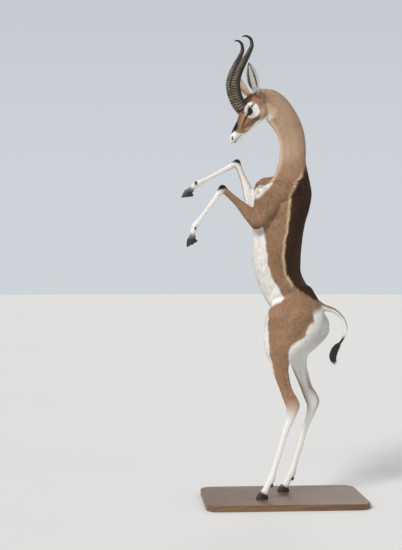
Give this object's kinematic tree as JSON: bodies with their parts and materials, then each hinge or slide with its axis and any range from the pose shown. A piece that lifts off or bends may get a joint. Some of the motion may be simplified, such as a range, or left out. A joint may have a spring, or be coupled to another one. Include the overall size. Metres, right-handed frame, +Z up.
{
  "type": "gerenuk",
  "caption": "Long-necked male antelope upright on its hind legs, forelegs raised, with ringed S-curved horns, cupped ears and a tufted tail, on a flat base.",
  "frame": {"origin": "centre of the flat base's underside", "axes": "+Z up, -X the way the animal faces, -Y its left side"},
  "size_m": [0.904, 0.5, 2.3089],
  "materials": {
    "coat_fawn": "short smooth coat of fawn hair with a darker saddle",
    "coat_white": "short white hair of the legs and rump",
    "tuft_black": "coarse black hair",
    "horn_ringed": "dark ringed horn, satin",
    "hoof_black": "black hoof horn, satin",
    "eye_dark": "dark wet eye",
    "base_wood": "plain oiled wood"
  },
  "bodies": {
    "root": {"stand_base": "base_wood", "torso": "coat_fawn", "neck": "coat_fawn", "head": "coat_fawn", "ear_l": "coat_fawn", "eye_l": "eye_dark", "horn_l": "horn_ringed", "ear_r": "coat_fawn", "eye_r": "eye_dark", "horn_r": "horn_ringed", "tail": "coat_fawn", "tail_tuft": "tuft_black", "thigh_l": "coat_white", "shank_l": "coat_fawn", "hind_cannon_l": "coat_white", "hind_pastern_l": "coat_white", "forearm_l": "coat_fawn", "fore_cannon_l": "coat_white", "fore_pastern_l": "coat_white", "hind_claw_l_inner": "hoof_black", "hind_dewclaw_l_inner": "hoof_black", "hind_claw_l_outer": "hoof_black", "hind_dewclaw_l_outer": "hoof_black", "fore_claw_l_inner": "hoof_black", "fore_dewclaw_l_inner": "hoof_black", "fore_claw_l_outer": "hoof_black", "fore_dewclaw_l_outer": "hoof_black", "thigh_r": "coat_white", "shank_r": "coat_fawn", "hind_cannon_r": "coat_white", "hind_pastern_r": "coat_white", "forearm_r": "coat_fawn", "fore_cannon_r": "coat_white", "fore_pastern_r": "coat_white", "hind_claw_r_inner": "hoof_black", "hind_dewclaw_r_inner": "hoof_black", "hind_claw_r_outer": "hoof_black", "hind_dewclaw_r_outer": "hoof_black", "fore_claw_r_inner": "hoof_black", "fore_dewclaw_r_inner": "hoof_black", "fore_claw_r_outer": "hoof_black", "fore_dewclaw_r_outer": "hoof_black"}
  },
  "joints": []
}
